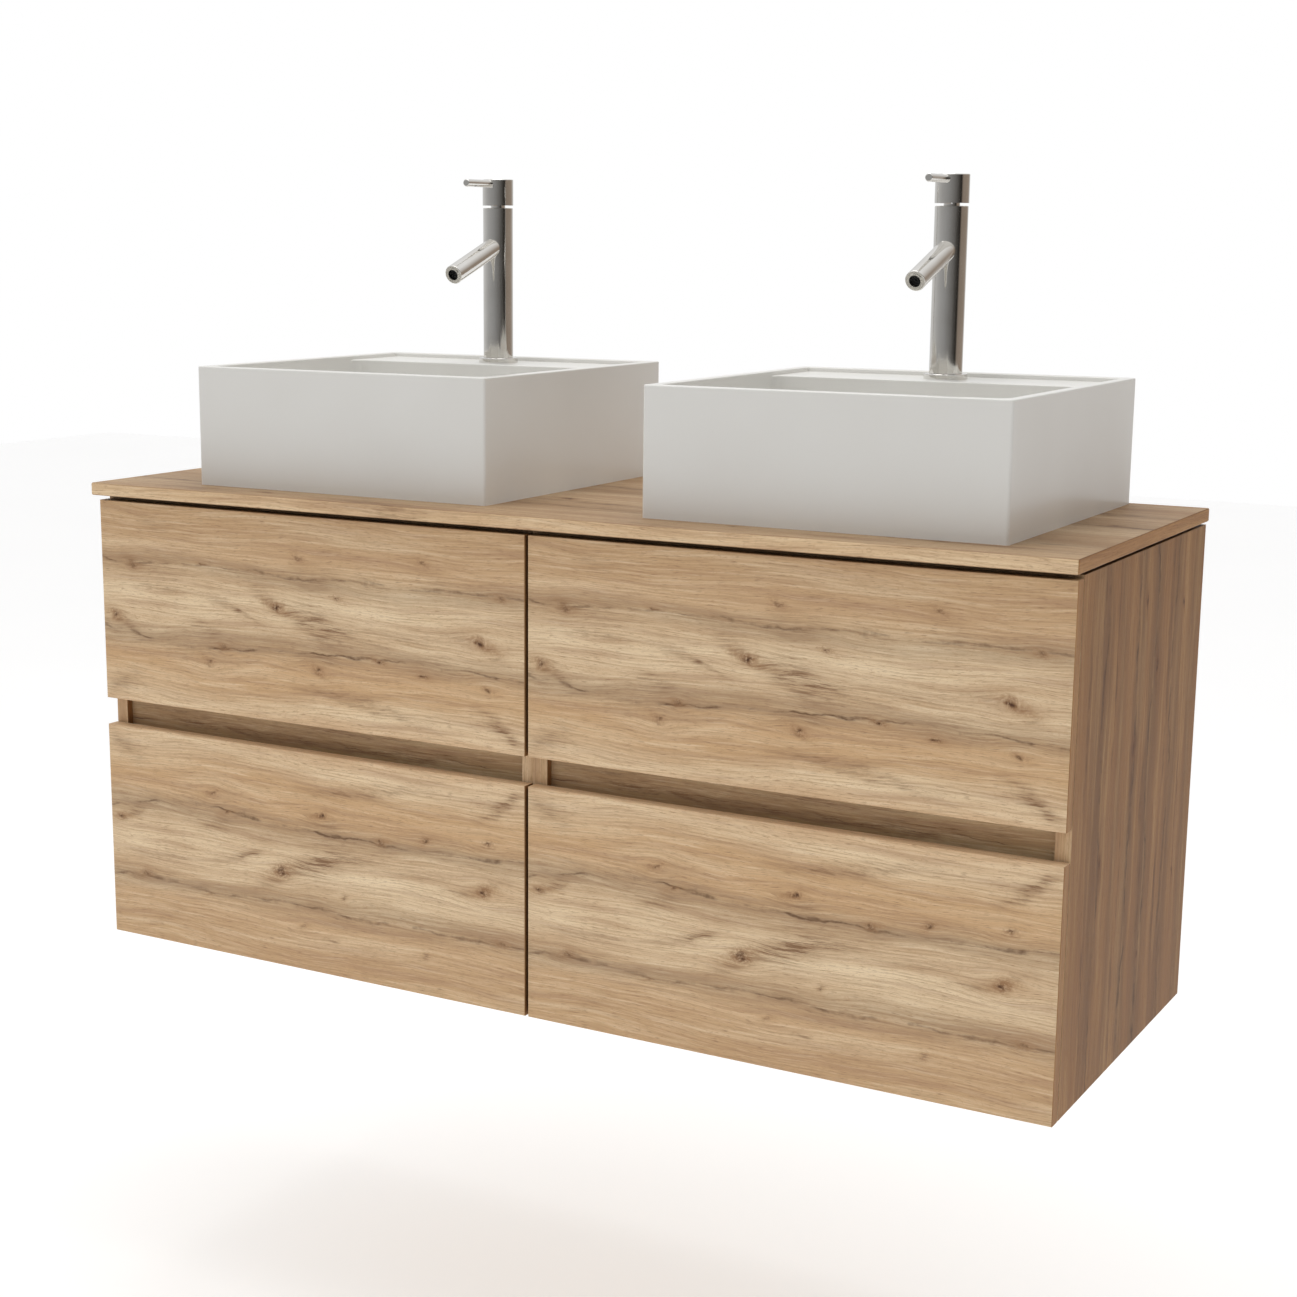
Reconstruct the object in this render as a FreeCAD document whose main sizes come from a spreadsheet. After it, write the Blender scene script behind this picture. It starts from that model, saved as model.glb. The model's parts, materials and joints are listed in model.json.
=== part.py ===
import FreeCAD, Part
import os
import re
import Sketcher

# A double vessel-sink vanity: two wall-hung drawer cabinets side by side, one countertop,
# two square basins that stand on it, and a single-lever tap on the deck of each basin.
#
# Millimetres. X runs to the right, Y back to the wall, Z up. The origin is on the wall plane,
# where the two cabinets meet, level with the cabinets' undersides. The fronts face -Y.

# ---------------------------------------------------------------- driving dimensions

DIMENSIONS = {
    # Carcass
    "cabinet_width": 600,
    "cabinet_depth": 450,
    "side_height": 541,
    "board": 16,
    "bumper_gap": 1.7,
    "front_seam": 4,
    "back_panel_height": 300,
    "rail_height": 110,
    "stretcher_depth": 70,
    "grip_rail_setback": 26.6,
    "grip_rail_low": 235,
    "grip_rail_height": 90,
    "wall_screw_radius": 4,
    "wall_screw_spread": 480,
    "wall_screw_rise": 60,
    "connector_radius": 3,
    "connector_head": 7,
    "connector_head_thickness": 2,
    "connector_front": 90,
    "connector_rear": 60,
    "connector_low": 225,
    "connector_high": 500,
    # Drawers
    "lower_front_height": 263,
    "finger_gap": 33,
    "upper_front_height": 242,
    "front_round": 1,
    "side_clearance": 12.7,
    "drawer_board": 12,
    "drawer_length": 390,
    "drawer_floor": 8,
    "floor_lift": 10,
    "lower_box_low": 30,
    "lower_box_height": 180,
    "upper_box_low": 335,
    "upper_box_height": 150,
    "notch_width": 150,
    "notch_front": 315,
    # Runners
    "runner_height": 35,
    "runner_depth": 10,
    "runner_sheet": 1.5,
    "runner_lift": 20,
    "slide_height": 24,
    "slide_stem": 12,
    "slide_gap": 0.7,
    "slide_setback": 2,
    # Countertop
    "top_width": 1206,
    "top_depth": 461,
    "top_thickness": 15,
    "top_round": 2,
    "pad_height": 3.5,
    "pad_length": 60,
    "pad_width": 12,
    "front_pad_setback": 20,
    "rear_pad_inset": 2,
    "hose_hole_radius": 22,
    # Basins
    "left_basin_axis": -278,
    "right_basin_axis": 316.5,
    "basin_size": 400,
    "basin_height": 139,
    "basin_wall": 12,
    "basin_back_gap": 8.5,
    "bowl_depth": 125,
    "bowl_corner": 14,
    "deck_depth": 90,
    "deck_drop": 5,
    "deck_thickness": 12,
    "rim_round": 1.6,
    "waste_y": -253,
    "waste_hole_radius": 23,
    "waste_seat_play": 0.5,
    "tap_hole_play": 1.5,
    # Waste and trap
    "waste_flange_radius": 32,
    "waste_flange": 2,
    "waste_tube_radius": 22.5,
    "waste_tube_bottom": 500,
    "waste_wall": 3,
    "waste_shoulder": 4,
    "waste_guide_drop": 30,
    "waste_guide_width": 6,
    "waste_guide_height": 10,
    "waste_cap_radius": 29,
    "waste_cap_dome": 6,
    "waste_stem_radius": 4,
    "waste_stem_length": 36,
    "waste_washer_radius": 34,
    "waste_washer": 3,
    "waste_nut_radius": 31,
    "waste_nut_height": 12,
    "tail_radius": 16,
    "tail_bottom": 440,
    "trap_radius": 30,
    "trap_wall": 3,
    "trap_bottom": 345,
    "trap_cup_height": 30,
    "trap_cup_lip": 2,
    "trap_cup_base": 8,
    "trap_shoulder_low": 20,
    "trap_shoulder_high": 8,
    "trap_shoulder_wall": 6,
    "trap_neck_radius": 21,
    "trap_neck_height": 30,
    "trap_nut_radius": 24,
    "trap_nut_height": 16,
    "trap_nut_chamfer": 3,
    "trap_outlet_height": 395,
    "outlet_stub_radius": 20,
    "outlet_stub_reach": 52,
    "pipe_wall": 2,
    "pipe_start_gap": 4,
    "coupling_length": 60,
    "bead_length": 3,
    # Taps
    "tap_y": -65,
    "base_radius": 24.5,
    "base_height": 6,
    "tap_radius": 18.5,
    "tap_height": 190,
    "tap_round": 1,
    "tap_chamfer": 0.6,
    "chamber_radius": 13,
    "cartridge_radius": 15,
    "cartridge_height": 30,
    "cartridge_floor": 8,
    "turret_radius": 9,
    "turret_rise": 4,
    "slot_drop": 7,
    "pin_radius": 1.5,
    "pin_inset": 0.5,
    "running_gap": 0.3,
    "cap_gap": 3,
    "cap_radius": 19,
    "cap_height": 31.5,
    "cap_cavity_radius": 13.5,
    "cap_cavity_height": 15,
    "pivot_height": 199.5,
    "relief_start": 7,
    "relief_angle": 17,
    "spindle_width": 7,
    "spindle_drop": 5,
    "spindle_height": 22,
    "lever_radius": 4.5,
    "lever_root": 7,
    "lever_height": 219,
    "lever_reach": 72,
    "spout_radius": 11.5,
    "spout_bore": 8,
    "spout_height": 146.5,
    "spout_drop": 20,
    "spout_length": 108,
    "spout_round": 0.8,
    "aerator_radius": 9,
    "aerator_bore": 6.6,
    "aerator_length": 10,
    "aerator_screen": 1,
    "shank_radius": 16,
    "shank_bore": 11,
    "shank_length": 60,
    "shank_nut_radius": 27,
    "shank_nut_height": 12,
    # How far a cutting tool runs past the face that it opens
    "overcut": 1,
}

doc = FreeCAD.newDocument("vanity")
sheet = doc.addObject("Spreadsheet::Sheet", "dims")
for row, (alias, number) in enumerate(DIMENSIONS.items(), start=1):
    sheet.set(f"A{row}", alias)
    sheet.set(f"B{row}", str(number))
    sheet.setAlias(f"B{row}", alias)
doc.recompute()

nodes = []
TOLERANCE = 0.01

# Places that several pieces share, as expressions of the driving dimensions.
CARCASS_DEPTH = "(cabinet_depth - board - bumper_gap)"
INNER_WIDTH = "(cabinet_width - 2 * board)"
TOP_LOW = "(side_height + pad_height)"
TOP_HIGH = "(side_height + pad_height + top_thickness)"
BASIN_Y = "-(basin_back_gap + basin_size / 2)"
DECK_HIGH = "(side_height + pad_height + top_thickness + basin_height - deck_drop)"
UPPER_FRONT_LOW = "(lower_front_height + finger_gap)"
BOWL_FLOOR = "(basin_height - bowl_depth)"


# ---------------------------------------------------------------- helpers

def in_sheet(expression):
    """The expression with every dimension's name pointing at its cell."""
    def cell(match):
        word = match.group(0)
        return f"dims.{word}" if word in DIMENSIONS else word
    return re.sub(r"[a-z][a-z_0-9]*", cell, str(expression))


def bind(thing, prop, expression):
    thing.setExpression(prop, in_sheet(expression))


def number(expression):
    """The value of an expression of the driving dimensions."""
    return float(sheet.evalExpression(in_sheet(expression)))


def place(thing, corner):
    for axis, expression in zip("xyz", corner):
        bind(thing, f"Placement.Base.{axis}", expression)


def keep(thing, label):
    """Mark an object as one node of the part."""
    thing.Label = label
    nodes.append(thing)
    return thing


def new_body(name):
    return doc.addObject("PartDesign::Body", name)


def new_sketch(body, role, lift="0"):
    """A sketch on one of the body's own origin planes, moved along the plane's normal by lift."""
    sketch = body.newObject("Sketcher::SketchObject", f"{body.Name}_sketch")
    plane = next(item for item in body.Origin.OriginFeatures if item.Role == role)
    sketch.AttachmentSupport = [(plane, "")]
    sketch.MapMode = "FlatFace"
    bind(sketch, "AttachmentOffset.Base.z", lift)
    return sketch


def add_outline(sketch, points):
    """A closed polygon whose corners are pairs of expressions."""
    spots = [FreeCAD.Vector(number(across), number(up), 0) for across, up in points]
    first = sketch.GeometryCount
    for index, spot in enumerate(spots):
        sketch.addGeometry(Part.LineSegment(spot, spots[(index + 1) % len(spots)]), False)
    for index, (across, up) in enumerate(points):
        line = first + index
        following = first + (index + 1) % len(points)
        sketch.addConstraint(Sketcher.Constraint("Coincident", line, 2, following, 1))
        for kind, expression in (("DistanceX", across), ("DistanceY", up)):
            value = number(expression)
            position = sketch.addConstraint(Sketcher.Constraint(kind, -1, 1, line, 1, value))
            bind(sketch, f"Constraints[{position}]", expression)


def rectangle(low_x, low_y, high_x, high_y):
    return [(low_x, low_y), (high_x, low_y), (high_x, high_y), (low_x, high_y)]


def add_circle(sketch, radius, centre=("0", "0")):
    middle = FreeCAD.Vector(number(centre[0]), number(centre[1]), 0)
    circle = sketch.addGeometry(Part.Circle(middle, FreeCAD.Vector(0, 0, 1), number(radius)), False)
    for kind, expression in (("DistanceX", centre[0]), ("DistanceY", centre[1])):
        value = number(expression)
        position = sketch.addConstraint(Sketcher.Constraint(kind, -1, 1, circle, 3, value))
        bind(sketch, f"Constraints[{position}]", expression)
    position = sketch.addConstraint(Sketcher.Constraint("Radius", circle, number(radius)))
    bind(sketch, f"Constraints[{position}]", radius)


def pad(body, sketch, length, reverse=False):
    feature = body.newObject("PartDesign::Pad", f"{body.Name}_pad")
    feature.Profile = sketch
    feature.Reversed = reverse
    bind(feature, "Length", length)
    doc.recompute()


def pocket(body, sketch, length, reverse=False):
    """Cut a pocket, and stop if it took nothing away."""
    before = body.Shape.Volume
    feature = body.newObject("PartDesign::Pocket", f"{body.Name}_pocket")
    feature.Profile = sketch
    feature.Reversed = reverse
    bind(feature, "Length", length)
    doc.recompute()
    if body.Shape.Volume > before - TOLERANCE:
        raise RuntimeError(f"{body.Name}: the pocket cuts nothing")


def revolve(body, points):
    """A turned body: the points are (radius, height) pairs, in the body's XZ plane."""
    sketch = new_sketch(body, "XZ_Plane")
    add_outline(sketch, points)
    feature = body.newObject("PartDesign::Revolution", f"{body.Name}_turn")
    feature.Profile = sketch
    feature.ReferenceAxis = (sketch, ["V_Axis"])
    feature.Angle = 360
    doc.recompute()


def round_edges(body, chosen, radius):
    """Fillet the edges for which chosen(edge) is true."""
    base = body.Tip
    names = [f"Edge{i}" for i, edge in enumerate(base.Shape.Edges, start=1) if chosen(edge)]
    feature = body.newObject("PartDesign::Fillet", f"{body.Name}_round")
    feature.Base = (base, names)
    bind(feature, "Radius", radius)
    doc.recompute()


def at_height(height):
    """A test for edges that lie wholly at one height of the body's own frame."""
    def test(edge):
        bounds = edge.BoundBox
        return abs(bounds.ZMin - height) < TOLERANCE and abs(bounds.ZMax - height) < TOLERANCE
    return test


def board(name, size, corner, holes=(), hole_role="XY_Plane", hole_depth=None):
    """A rectangular board from its lowest corner, with round holes in one direction."""
    body = new_body(name)
    sketch = new_sketch(body, "XY_Plane")
    add_outline(sketch, rectangle("0", "0", size[0], size[1]))
    pad(body, sketch, size[2])
    if holes:
        sketch = new_sketch(body, hole_role)
        for across, up, radius in holes:
            add_circle(sketch, radius, (across, up))
        pocket(body, sketch, hole_depth, reverse=hole_role != "XZ_Plane")
    place(body, corner)
    return body


def box(name, size, corner):
    solid = doc.addObject("Part::Box", name)
    for prop, expression in zip(("Length", "Width", "Height"), size):
        bind(solid, prop, expression)
    place(solid, corner)
    return solid


def group(label, members):
    """One node that holds several separate solids."""
    compound = doc.addObject("Part::Compound", label)
    compound.Links = members
    return keep(compound, label)


def cut(name, base, tool):
    result = doc.addObject("Part::Cut", name)
    result.Base = base
    result.Tool = tool
    return result


def fuse(name, base, tool):
    result = doc.addObject("Part::Fuse", name)
    result.Base = base
    result.Tool = tool
    return result


def cylinder(name, radius, length, start, turn=(0, 0, 1, "0")):
    """A cylinder along its own Z, turned by an angle about one axis, from its start point."""
    solid = doc.addObject("Part::Cylinder", name)
    bind(solid, "Radius", radius)
    bind(solid, "Height", length)
    place(solid, start)
    solid.Placement.Rotation = FreeCAD.Rotation(FreeCAD.Vector(*turn[:3]), 0)
    bind(solid, "Placement.Rotation.Angle", turn[3])
    return solid


# ---------------------------------------------------------------- cabinets

def carcass(side, left_edge):
    """One cabinet: two side panels, a bottom, a low back panel and the rails."""
    inner_start = f"({left_edge} + board)"
    outer_x = left_edge if side == "left" else "cabinet_width - board"
    inner_x = "-board" if side == "left" else "0"
    panel = ("board", CARCASS_DEPTH, "side_height")
    keep(board(f"{side}_outer_side", panel, (outer_x, f"-{CARCASS_DEPTH}", "0")),
         f"{side}_outer_side")
    bolt_holes = [(y, z, "connector_radius") for y, z in connector_places()]
    keep(board(f"{side}_inner_side", panel, (inner_x, f"-{CARCASS_DEPTH}", "0"),
               bolt_holes, "YZ_Plane", "board"),
         f"{side}_inner_side")
    keep(board(f"{side}_bottom_panel", (INNER_WIDTH, CARCASS_DEPTH, "board"),
               (inner_start, f"-{CARCASS_DEPTH}", "0")),
         f"{side}_bottom_panel")
    keep(board(f"{side}_back_panel", (INNER_WIDTH, "board", "back_panel_height"),
               (inner_start, "-board", "board")),
         f"{side}_back_panel")
    screw_holes = [(f"{INNER_WIDTH} / 2 + {across} * wall_screw_spread / 2",
                    f"rail_height / 2 + {up} * wall_screw_rise / 2", "wall_screw_radius")
                   for across in (-1, 1) for up in (-1, 1)]
    keep(board(f"{side}_hanging_rail", (INNER_WIDTH, "board", "rail_height"),
               (inner_start, "-board", "side_height - rail_height"),
               screw_holes, "XZ_Plane", "board"),
         f"{side}_hanging_rail")
    keep(board(f"{side}_grip_rail", (INNER_WIDTH, "board", "grip_rail_height"),
               (inner_start, "grip_rail_setback - cabinet_depth", "grip_rail_low")),
         f"{side}_grip_rail")
    return board(f"{side}_stretcher", (INNER_WIDTH, "stretcher_depth", "board"),
                 (inner_start, f"-{CARCASS_DEPTH}", "side_height - board"))


def connector_places():
    """Where the four bolts that join the cabinets pass, from the side panel's corner."""
    return [(y, z) for y in ("connector_front", f"{CARCASS_DEPTH} - connector_rear")
            for z in ("connector_low", "connector_high")]


def connectors():
    """Sleeve bolts through both inner side panels, with a flat head at each end."""
    bolts = []
    for index, (y, z) in enumerate(connector_places(), start=1):
        body = new_body(f"connector_{index}")
        end = "(board + connector_head_thickness)"
        revolve(body, [("0", f"-{end}"), ("connector_head", f"-{end}"),
                       ("connector_head", "-board"), ("connector_radius", "-board"),
                       ("connector_radius", "board"), ("connector_head", "board"),
                       ("connector_head", end), ("0", end)])
        place(body, ("0", f"{y} - {CARCASS_DEPTH}", z))
        body.Placement.Rotation = FreeCAD.Rotation(FreeCAD.Vector(0, 1, 0), 90)
        bolts.append(body)
    group("cabinet_connectors", bolts)


# ---------------------------------------------------------------- drawers and runners

LEVELS = {
    "lower": {"front_low": "0", "front_height": "lower_front_height",
              "low": "lower_box_low", "height": "lower_box_height"},
    "upper": {"front_low": UPPER_FRONT_LOW, "front_height": "upper_front_height",
              "low": "upper_box_low", "height": "upper_box_height"},
}
BOX_WIDTH = f"({INNER_WIDTH} - 2 * side_clearance)"
BOX_FRONT = "(board - cabinet_depth)"
BOX_BACK = "(board - cabinet_depth + drawer_length)"


def runner_pair(side, level, left_edge):
    """The two channels on the cabinet's sides, and the two slides on the drawer's sides."""
    low = f"({LEVELS[level]['low']} + runner_lift)"
    front = f"-{CARCASS_DEPTH}"
    faces = {"a": f"({left_edge} + board)", "b": f"({left_edge} + cabinet_width - board)"}
    channels = []
    slides = []
    for hand, face in faces.items():
        name = f"{side}_{level}_{hand}"
        inward = "1" if hand == "a" else "-1"
        outer_low = face if hand == "a" else f"({face} - runner_depth)"
        inner_low = f"({face} + runner_sheet)" if hand == "a" else outer_low
        outer = box(f"{name}_channel", ("runner_depth", "drawer_length", "runner_height"),
                    (outer_low, front, low))
        inner = box(f"{name}_groove",
                    ("runner_depth - runner_sheet", "drawer_length",
                     "runner_height - 2 * runner_sheet"),
                    (inner_low, front, f"{low} + runner_sheet"))
        channels.append(cut(f"{name}_runner", outer, inner))
        plate = "(side_clearance - runner_depth - slide_gap)"
        plate_face = f"({face} + {inward} * side_clearance)"
        plate_low = f"({plate_face} - {plate})" if hand == "a" else plate_face
        reach = "(runner_depth - runner_sheet - slide_gap)"
        stem_low = f"({plate_low} - {reach})" if hand == "a" else f"({plate_low} + {plate})"
        middle = f"({low} + runner_height / 2)"
        web = box(f"{name}_plate", (plate, "drawer_length", "slide_height"),
                  (plate_low, BOX_FRONT, f"{middle} - slide_height / 2"))
        stem = box(f"{name}_stem", (reach, "drawer_length - slide_setback", "slide_stem"),
                   (stem_low, f"{BOX_FRONT} + slide_setback", f"{middle} - slide_stem / 2"))
        slides.append(fuse(f"{name}_slide", web, stem))
    group(f"{side}_{level}_slides", slides)
    return channels


def drawer(side, level, left_edge):
    """A drawer: its front, the walls of its box and its floor."""
    spec = LEVELS[level]
    front = board(f"{side}_{level}_front",
                  ("cabinet_width - front_seam / 2", "board", spec["front_height"]),
                  (left_edge if side == "left" else "front_seam / 2",
                   "-cabinet_depth", spec["front_low"]))
    round_edges(front, lambda edge: edge.BoundBox.YMax < TOLERANCE, "front_round")
    keep(front, f"{side}_{level}_front")

    box_left = f"({left_edge} + board + side_clearance)"
    box_right = f"({box_left} + {BOX_WIDTH})"
    low = spec["low"]
    inner_left = f"({box_left} + drawer_board)"
    inner_right = f"({box_right} - drawer_board)"
    inner_back = f"({BOX_BACK} - drawer_board)"
    walls = [(box_left, BOX_FRONT, inner_left, BOX_BACK),
             (inner_right, BOX_FRONT, box_right, BOX_BACK)]
    floor = rectangle(inner_left, BOX_FRONT, inner_right, inner_back)
    if level == "lower":
        walls.append((inner_left, inner_back, inner_right, BOX_BACK))
    else:
        # The floor and the back go round the trap in a notch that is open to the back.
        notch_left = f"({side}_basin_axis - notch_width / 2)"
        notch_right = f"({side}_basin_axis + notch_width / 2)"
        outer_left = f"({notch_left} - drawer_board)"
        outer_right = f"({notch_right} + drawer_board)"
        notch_wall = "(-notch_front - drawer_board)"
        walls += [(inner_left, inner_back, outer_left, BOX_BACK),
                  (outer_right, inner_back, inner_right, BOX_BACK),
                  (outer_left, "-notch_front", notch_left, BOX_BACK),
                  (notch_right, "-notch_front", outer_right, BOX_BACK),
                  (outer_left, notch_wall, outer_right, "-notch_front")]
        floor = [(inner_left, BOX_FRONT), (inner_right, BOX_FRONT), (inner_right, inner_back),
                 (outer_right, inner_back), (outer_right, notch_wall),
                 (outer_left, notch_wall), (outer_left, inner_back), (inner_left, inner_back)]
    boards = []
    for index, (low_x, low_y, high_x, high_y) in enumerate(walls, start=1):
        boards.append(box(f"{side}_{level}_wall_{index}",
                          (f"{high_x} - {low_x}", f"{high_y} - {low_y}", spec["height"]),
                          (low_x, low_y, low)))
    group(f"{side}_{level}_box", boards)
    body = new_body(f"{side}_{level}_floor")
    sketch = new_sketch(body, "XY_Plane")
    add_outline(sketch, floor)
    pad(body, sketch, "drawer_floor")
    place(body, ("0", "0", f"{low} + floor_lift"))
    keep(body, f"{side}_{level}_floor")


# ---------------------------------------------------------------- countertop

def countertop():
    """The slab, with a waste hole and a hose hole under each basin, on small spacer pads."""
    holes = []
    for side in ("left", "right"):
        across = f"top_width / 2 + {side}_basin_axis"
        holes.append((across, "top_depth + waste_y", "waste_hole_radius"))
        holes.append((across, "top_depth + tap_y", "hose_hole_radius"))
    slab = board("countertop", ("top_width", "top_depth", "top_thickness"),
                 ("-top_width / 2", "-top_depth", TOP_LOW), holes, "XY_Plane", "top_thickness")

    def outer_edge(edge):
        at_top = at_height(number("top_thickness"))(edge)
        at_bottom = at_height(0)(edge)
        straight = edge.Curve.TypeId == "Part::GeomLine"
        upright = edge.BoundBox.ZLength > 1 and straight
        return straight and (at_top or at_bottom or upright)

    round_edges(slab, outer_edge, "top_round")
    keep(slab, "countertop")

    pads = []
    for centre in ("-cabinet_width / 2", "cabinet_width / 2"):
        for hand in (-1, 1):
            low_x = f"{centre} + {hand} * cabinet_width / 3 - pad_length / 2"
            for row, low_y in (("front", f"front_pad_setback - {CARCASS_DEPTH}"),
                               ("rear", "rear_pad_inset - board")):
                pads.append(box(f"pad_{len(pads) + 1}_{row}",
                                ("pad_length", "pad_width", "pad_height"),
                                (low_x, low_y, "side_height")))
    group("countertop_pads", pads)


# ---------------------------------------------------------------- basins

def basin(side):
    """A square vessel basin: a deep bowl, and a tap deck along the back, a little below the rim."""
    body = new_body(f"{side}_basin")
    half = "basin_size / 2"
    sketch = new_sketch(body, "XY_Plane")
    add_outline(sketch, rectangle(f"-{half}", f"-{half}", half, half))
    pad(body, sketch, "basin_height")
    height = number("basin_height")
    round_edges(body, lambda edge: edge.BoundBox.ZLength > height - 1, "2 * rim_round")

    bowl_half = "(basin_size / 2 - basin_wall)"
    deck_front = f"({bowl_half} - deck_depth)"
    sketch = new_sketch(body, "XY_Plane", "basin_height")
    add_outline(sketch, rectangle(f"-{bowl_half}", f"-{bowl_half}", bowl_half, bowl_half))
    pocket(body, sketch, "deck_drop")
    sketch = new_sketch(body, "XY_Plane", "basin_height")
    add_outline(sketch, rectangle(f"-{bowl_half}", f"-{bowl_half}", bowl_half, deck_front))
    pocket(body, sketch, "bowl_depth")
    floor = number(BOWL_FLOOR)
    inside = number(bowl_half) + TOLERANCE

    def bowl_edge(edge):
        bounds = edge.BoundBox
        upright = bounds.ZLength > 1 and max(bounds.XLength, bounds.YLength) < TOLERANCE
        within = max(abs(bounds.XMin), abs(bounds.XMax)) < inside
        rises_from_floor = upright and 1 < bounds.ZMin < floor + TOLERANCE
        return within and (rises_from_floor or at_height(floor)(edge))

    round_edges(body, bowl_edge, "bowl_corner")

    def rim_edge(edge):
        bounds = edge.BoundBox
        on_deck_front = (at_height(height - number("deck_drop"))(edge)
                         and abs(bounds.YMax - number(deck_front)) < TOLERANCE
                         and abs(bounds.YMin - number(deck_front)) < TOLERANCE)
        return at_height(height)(edge) or on_deck_front

    round_edges(body, rim_edge, "rim_round")

    # Under the deck the basin is hollow and open below, for the tap's fixing and hoses.
    sketch = new_sketch(body, "XY_Plane")
    add_outline(sketch, rectangle(f"basin_wall - {bowl_half}", f"{deck_front} + basin_wall",
                                  f"{bowl_half} - basin_wall", bowl_half))
    pocket(body, sketch, "basin_height - deck_drop - deck_thickness", reverse=True)
    sketch = new_sketch(body, "XY_Plane", "basin_height")
    add_circle(sketch, "shank_radius + tap_hole_play", ("0", f"tap_y - ({BASIN_Y})"))
    pocket(body, sketch, "deck_drop + deck_thickness + overcut")
    sketch = new_sketch(body, "XY_Plane", f"{BOWL_FLOOR} + overcut")
    add_circle(sketch, "waste_flange_radius + waste_seat_play", ("0", f"waste_y - ({BASIN_Y})"))
    pocket(body, sketch, "waste_flange + overcut")
    sketch = new_sketch(body, "XY_Plane")
    add_circle(sketch, "waste_hole_radius", ("0", f"waste_y - ({BASIN_Y})"))
    pocket(body, sketch, BOWL_FLOOR, reverse=True)
    place(body, (f"{side}_basin_axis", BASIN_Y, TOP_HIGH))
    keep(body, f"{side}_basin")


# ---------------------------------------------------------------- wastes and traps

def waste(side):
    """The threaded waste with its flange and guide, and the push-to-open cap above it."""
    spot = (f"{side}_basin_axis", "waste_y", "0")
    seat = f"({TOP_HIGH} + {BOWL_FLOOR})"
    bore = "(waste_tube_radius - waste_wall)"
    shoulder = "waste_tube_bottom + waste_shoulder"
    body = new_body(f"{side}_waste_body")
    revolve(body, [(bore, f"{seat} - waste_flange / 2"),
                   ("waste_flange_radius", f"{seat} - waste_flange / 4"),
                   ("waste_flange_radius", f"{seat} - waste_flange"),
                   ("waste_tube_radius", f"{seat} - waste_flange"),
                   ("waste_tube_radius", "waste_tube_bottom"),
                   ("tail_radius", "waste_tube_bottom"), ("tail_radius", "tail_bottom"),
                   ("tail_radius - pipe_wall", "tail_bottom"),
                   ("tail_radius - pipe_wall", shoulder), (bore, shoulder)])
    # A bar across the tube guides the cap's stem.
    sketch = new_sketch(body, "XY_Plane", f"{seat} - waste_guide_drop")
    bar_end = f"{bore} + waste_wall / 2"
    add_outline(sketch, rectangle(f"-({bar_end})", "-waste_guide_width / 2",
                                  bar_end, "waste_guide_width / 2"))
    pad(body, sketch, "waste_guide_height")
    sketch = new_sketch(body, "XY_Plane", f"{seat} - waste_guide_drop")
    add_circle(sketch, "waste_stem_radius + running_gap")
    pocket(body, sketch, "waste_guide_height", reverse=True)
    place(body, spot)
    keep(body, f"{side}_waste_body")

    rest = f"({seat} + running_gap)"
    stem_end = f"{rest} - waste_stem_length"
    cap = new_body(f"{side}_waste_cap")
    dome = [("0", "1"), ("0.5", "0.94"), ("0.82", "0.79"), ("0.94", "0.66"), ("1", "0.4"),
            ("1", "0")]
    revolve(cap, [(f"{part} * waste_cap_radius", f"{rest} + {rise} * waste_cap_dome")
                  for part, rise in dome]
            + [("waste_stem_radius", rest), ("waste_stem_radius", stem_end), ("0", stem_end)])
    place(cap, spot)
    keep(cap, f"{side}_waste_cap")

    nut = new_body(f"{side}_waste_nut")
    washer_low = f"{TOP_LOW} - waste_washer"
    nut_low = f"{TOP_LOW} - waste_nut_height"
    revolve(nut, [("waste_tube_radius", TOP_LOW), ("waste_washer_radius", TOP_LOW),
                  ("waste_washer_radius", washer_low), ("waste_nut_radius", washer_low),
                  ("waste_nut_radius", nut_low), ("waste_tube_radius", nut_low)])
    place(nut, spot)
    return nut


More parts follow.
